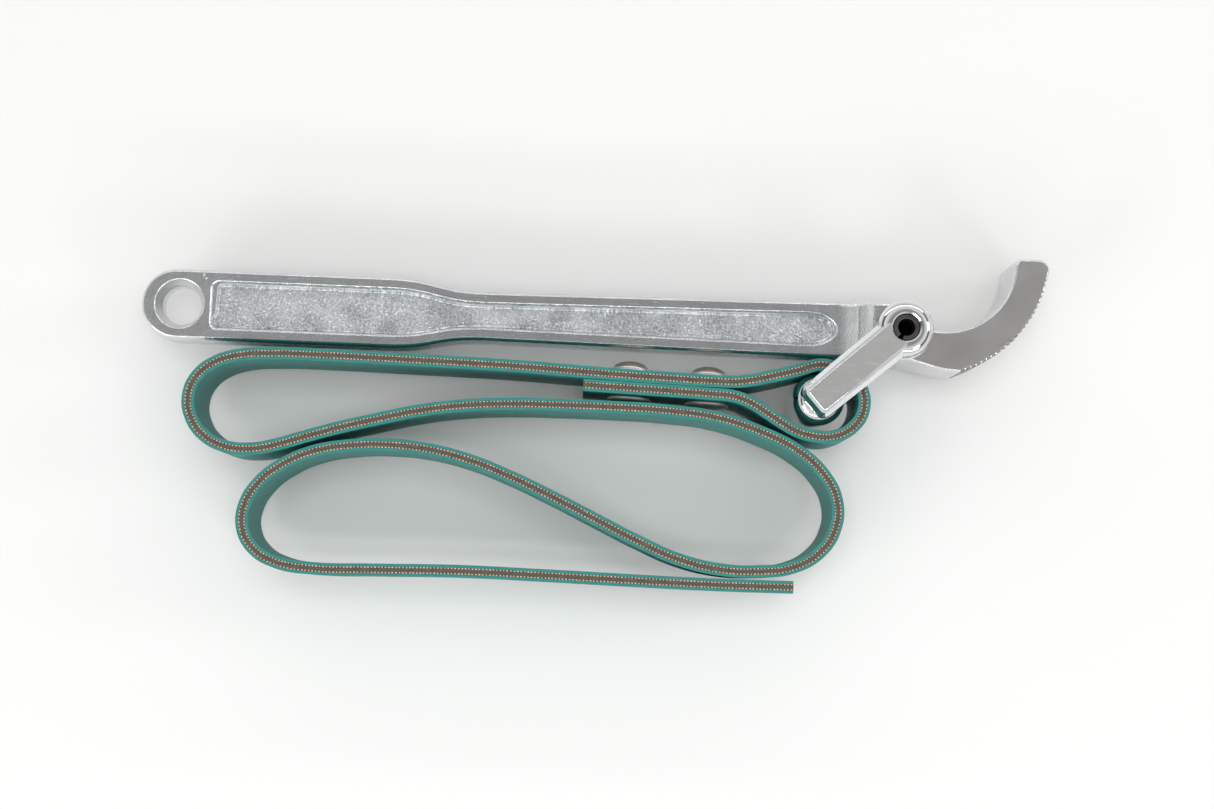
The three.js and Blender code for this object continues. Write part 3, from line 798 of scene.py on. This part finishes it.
def grained(name, length, across, contrast, dark, light, roughness, bump, raised):
    """A belt layer's material: two tones along its streaks, and a fine relief."""
    material, tree, shader = node_material(name)
    grain = node(tree, "ShaderNodeGroup", node_tree=belt_grain)
    for title, value in (("Length", length), ("Across", across), ("Contrast", contrast)):
        grain.inputs[title].default_value = value
    tint = ramp(tree, grain.outputs["Mask"], [(0.0, dark), (1.0, light)])
    relief = node(tree, "ShaderNodeMath", {
        0: grain.outputs["Mask"], 1: grain.outputs["Fine"]}, operation="ADD")
    surface = node(tree, "ShaderNodeBump", {
        "Height": relief.outputs[0], "Strength": bump, "Distance": raised})
    worn = node(tree, "ShaderNodeMapRange", {
        "Value": grain.outputs["Fine"], "To Min": roughness - 0.08, "To Max": roughness + 0.1})
    tree.links.new(tint, shader.inputs["Base Color"])
    tree.links.new(worn.outputs["Result"], shader.inputs["Roughness"])
    tree.links.new(surface.outputs["Normal"], shader.inputs["Normal"])
    return material, tree, shader


teal_rubber, tree, shader = grained(
    "teal_rubber", 20.0, 300.0, 1.0, (0.020, 0.165, 0.150), (0.036, 0.232, 0.212),
    0.52, 0.25, 0.0002)
shader.inputs["Specular IOR Level"].default_value = 0.42
core_laminate, _, _ = grained(
    "core_laminate", 30.0, 420.0, 1.0, (0.040, 0.033, 0.022), (0.135, 0.118, 0.092),
    0.68, 0.5, 0.0003)

# The fabric's cut threads show as a line of pale dots about a millimetre apart.
woven_ply, tree, shader = node_material("woven_ply")
flat = node(tree, "ShaderNodeUVMap", uv_map="flat_pattern")
apart = node(tree, "ShaderNodeSeparateXYZ", {0: flat.outputs["UV"]})
uneven = node(tree, "ShaderNodeTexNoise", {
    "Vector": flat.outputs["UV"], "Scale": 160.0, "Detail": 2.0})
drift = node(tree, "ShaderNodeMath", {
    0: apart.outputs["X"], 1: 600.0}, operation="MULTIPLY")
jittered = node(tree, "ShaderNodeMath", {
    0: uneven.outputs["Fac"], 1: 5.0, 2: drift.outputs[0]}, operation="MULTIPLY_ADD")
threads = node(tree, "ShaderNodeMath", {0: jittered.outputs[0]}, operation="SINE")
dots = node(tree, "ShaderNodeMapRange", {
    "Value": threads.outputs[0], "From Min": -0.1, "From Max": 0.5})
tint = ramp(tree, dots.outputs["Result"], [
    (0.0, (0.075, 0.052, 0.034)), (1.0, (0.62, 0.42, 0.31))])
raised = node(tree, "ShaderNodeBump", {
    "Height": dots.outputs["Result"], "Strength": 0.6, "Distance": 0.0001})
tree.links.new(tint, shader.inputs["Base Color"])
tree.links.new(raised.outputs["Normal"], shader.inputs["Normal"])
shader.inputs["Roughness"].default_value = 0.8

core = strap("belt_core_strip", -core_half, core_half, 0.04)
for side in (-1, 1):
    edit(core)
    bpy.ops.mesh.select_all(action="SELECT")
    bpy.ops.mesh.bisect(plane_co=(0, side * (core_half - ply), 0), plane_no=(0, 1, 0))
    done()
core.data.materials.append(core_laminate)
paint(core, lambda middle, normal: abs(middle.y) > core_half - ply, woven_ply)
lay(core)
bring_home(core)
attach(core, "belt")
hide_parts("belt_core")

for name, side, cad_node in (("belt_rubber_inner", 1, "belt_face_inner"),
                             ("belt_rubber_outer", -1, "belt_face_outer")):
    bounds_of_layer = sorted((side * core_half, side * belt_half))
    rubber = strap(name, *bounds_of_layer, 0.14)
    rubber.data.materials.append(teal_rubber)
    lay(rubber)
    bring_home(rubber)
    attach(rubber, "belt")
    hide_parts(cad_node)
bpy.data.objects.remove(belt_line)

# ---------------------------------------------------------------- rivets and washers
# Two zinc-plated steel rivets clamp the lap: a dome head over a thin washer on the
# handle's side, a flat spread head on the other.
strand_face = strand + belt_half
washer_top = strand_face + 1.1
dulled = 0.75
zinc = plated(
    "zinc_plate", (0.90, 0.90, 0.88), (0.76, 0.75, 0.72), 0.30, 0.15, 0.1, 0.6, metal=dulled)
# A brownish grey for the top of each dome head: a painted reflection on the zinc.
zinc_painted_reflection = plated(
    "zinc_dome_painted_reflection", (0.66, 0.56, 0.48), (0.50, 0.42, 0.35), 0.24, 0.2, 0.15, 0.6, metal=dulled)


def stand_on_lap(piece, end):
    """Turns a piece made upright so that its axis crosses the lap, at one of its two rivets."""
    x, y = at_lap(end * rivet_spacing / 2, 0)
    piece.rotation_euler = (-pi / 2, 0, lap_angle)
    piece.location = (x, y, 0)
    take(piece)
    bpy.ops.object.transform_apply(location=True, rotation=True, scale=True)


flat_face = -strand_face - 0.02
for number, end in ((1, -1), (2, 1)):
    rivet = turn(f"lap_rivet_{number}", [
        (5.4, flat_face - 1.2), (6.1, flat_face - 1.15), (6.5, flat_face - 0.95),
        (6.68, flat_face - 0.65), (6.7, flat_face - 0.3), (6.6, flat_face),
        (2.5, flat_face), (2.5, washer_top + 0.02), (5.3, washer_top + 0.02),
        (5.5, washer_top + 0.2), (5.45, washer_top + 0.55), (5.15, washer_top + 1.0),
        (4.5, washer_top + 1.6), (3.5, washer_top + 2.15), (2.3, washer_top + 2.5),
        (1.0, washer_top + 2.65)], around=64)
    rivet.data.materials.append(zinc)
    # The top of the dome takes the painted reflection.
    paint(rivet, lambda middle, normal: middle.z > washer_top + 0.6, zinc_painted_reflection)
    washer = turn(f"lap_washer_{number}", [
        (6.5, strand_face + 0.01), (6.75, strand_face + 0.12), (6.8, strand_face + 0.35),
        (6.72, washer_top - 0.18), (6.5, washer_top - 0.03), (6.2, washer_top)], around=64)
    cut(washer, turn("washer_hole", [(rivet_hole, 0), (rivet_hole, washer_top + 1)], around=32))
    washer.data.materials.append(zinc)
    for piece, cad_node in ((rivet, f"belt_rivet_{number}"), (washer, f"rivet_washer_{number}")):
        stand_on_lap(piece, end)
        bring_home(piece, 35)
        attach(piece, "belt")
        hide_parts(cad_node)

# ---------------------------------------------------------------- floor and studio light
# The tool lies on a pale matt table in a soft, mostly white studio. The sky is dark
# between the table's horizon and the ceiling, so that the chrome has something to show.
table_top = add(bpy.ops.mesh.primitive_plane_add, "table", size=6, location=(0, 0, 0))
matt, tree, shader = node_material("pale_table")
shader.inputs["Base Color"].default_value = (0.75, 0.75, 0.74, 1)
shader.inputs["Roughness"].default_value = 0.9
table_top.data.materials.append(matt)

studio = bpy.data.worlds.new("studio")
bpy.context.scene.world = studio
studio.use_nodes = True
sky = studio.node_tree
direction = node(sky, "ShaderNodeTexCoord").outputs["Generated"]
height = node(sky, "ShaderNodeSeparateXYZ", {0: direction}).outputs["Z"]
grey = [(0.0, 0.80), (0.30, 0.70), (0.38, 0.07), (0.50, 0.07), (0.60, 0.85), (0.78, 0.80),
        (0.97, 0.30), (1.0, 0.28)]
sky_colour = ramp(sky, height, [(at, (level, level, level)) for at, level in grey])
sky.links.new(sky_colour, sky.nodes["Background"].inputs["Color"])

softboxes = [
    # name, place (m), width, depth (m), power (W)
    ("front", (0.0, -1.0, 0.55), 2.2, 0.12, 4.2),
    ("back", (0.0, 1.0, 0.6), 2.2, 0.10, 3.0),
    ("front_left", (-0.85, -0.7, 0.7), 0.6, 0.3, 3.2),
    ("front_right", (0.75, -0.7, 0.7), 0.3, 0.2, 1.5),
    ("right", (1.1, 0.25, 0.6), 0.3, 0.3, 1.8),
    ("ceiling", (0.0, 0.0, 1.6), 0.9, 0.9, 11.0),
]
for name, place, width, depth, power in softboxes:
    light = add(bpy.ops.object.light_add, name, type="AREA", location=place)
    light.data.shape = "RECTANGLE"
    light.data.size, light.data.size_y = width, depth
    light.data.energy = power
    light.rotation_euler = (-Vector(place)).to_track_quat("-Z", "Y").to_euler()
# The ceiling only lifts the shadows; the chrome would show it as a white sheet.
bpy.data.objects["ceiling"].visible_glossy = False

# ---------------------------------------------------------------- camera
# It looks down on the tool from over its middle, leaning a little towards the handle.
camera = add(bpy.ops.object.camera_add, "camera", location=(-0.00253, -0.05398, 0.607),
             rotation=(radians(5.576), radians(-0.960), radians(2.190)))
camera.data.lens = 56.34
camera.data.sensor_width = 36.0
camera.data.clip_start = 0.01
bpy.context.scene.camera = camera
bpy.context.scene.view_settings.view_transform = "Standard"
